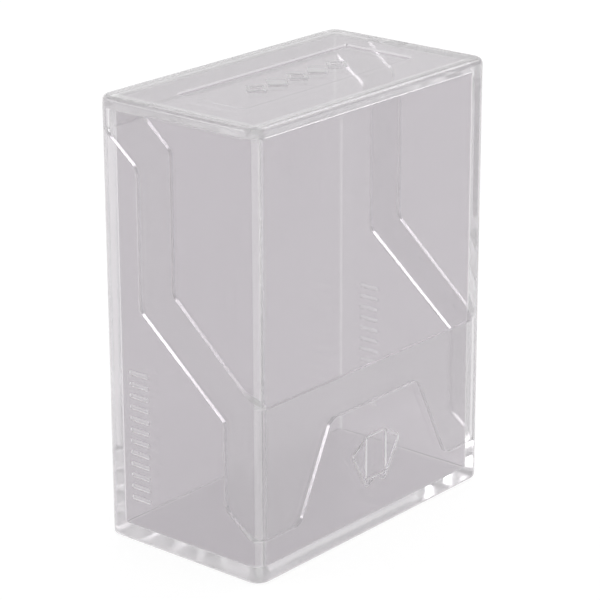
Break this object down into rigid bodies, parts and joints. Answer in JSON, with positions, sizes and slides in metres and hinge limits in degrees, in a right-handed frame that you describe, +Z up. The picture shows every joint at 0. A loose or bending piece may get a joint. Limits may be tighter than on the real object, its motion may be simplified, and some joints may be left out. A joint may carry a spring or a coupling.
{
  "type": "card deck box",
  "caption": "Clear hard-plastic deck box: a tray with a stepped wall holds sleeved cards upright, and a hood-shaped cover lifts straight up off it.",
  "frame": {"origin": "centre of the tray's underside, on the surface the box stands on", "axes": "+Z up; X along the wide faces; the front face, with the trapezoid window of the tray, faces -Y"},
  "size_m": [0.077, 0.0438, 0.0985],
  "materials": {
    "tray_plastic": "clear moulded polystyrene with a faint lilac-grey cast, polished",
    "cover_plastic": "clear moulded polystyrene with a faint lilac-grey cast, polished"
  },
  "bodies": {
    "tray": {"tray": "tray_plastic"},
    "cover": {"cover": "cover_plastic"}
  },
  "joints": [
    {"name": "cover_lift", "type": "slide", "parent": "tray", "child": "cover", "axis": [0, 0, 1], "range_m": [0, 0.095]}
  ]
}
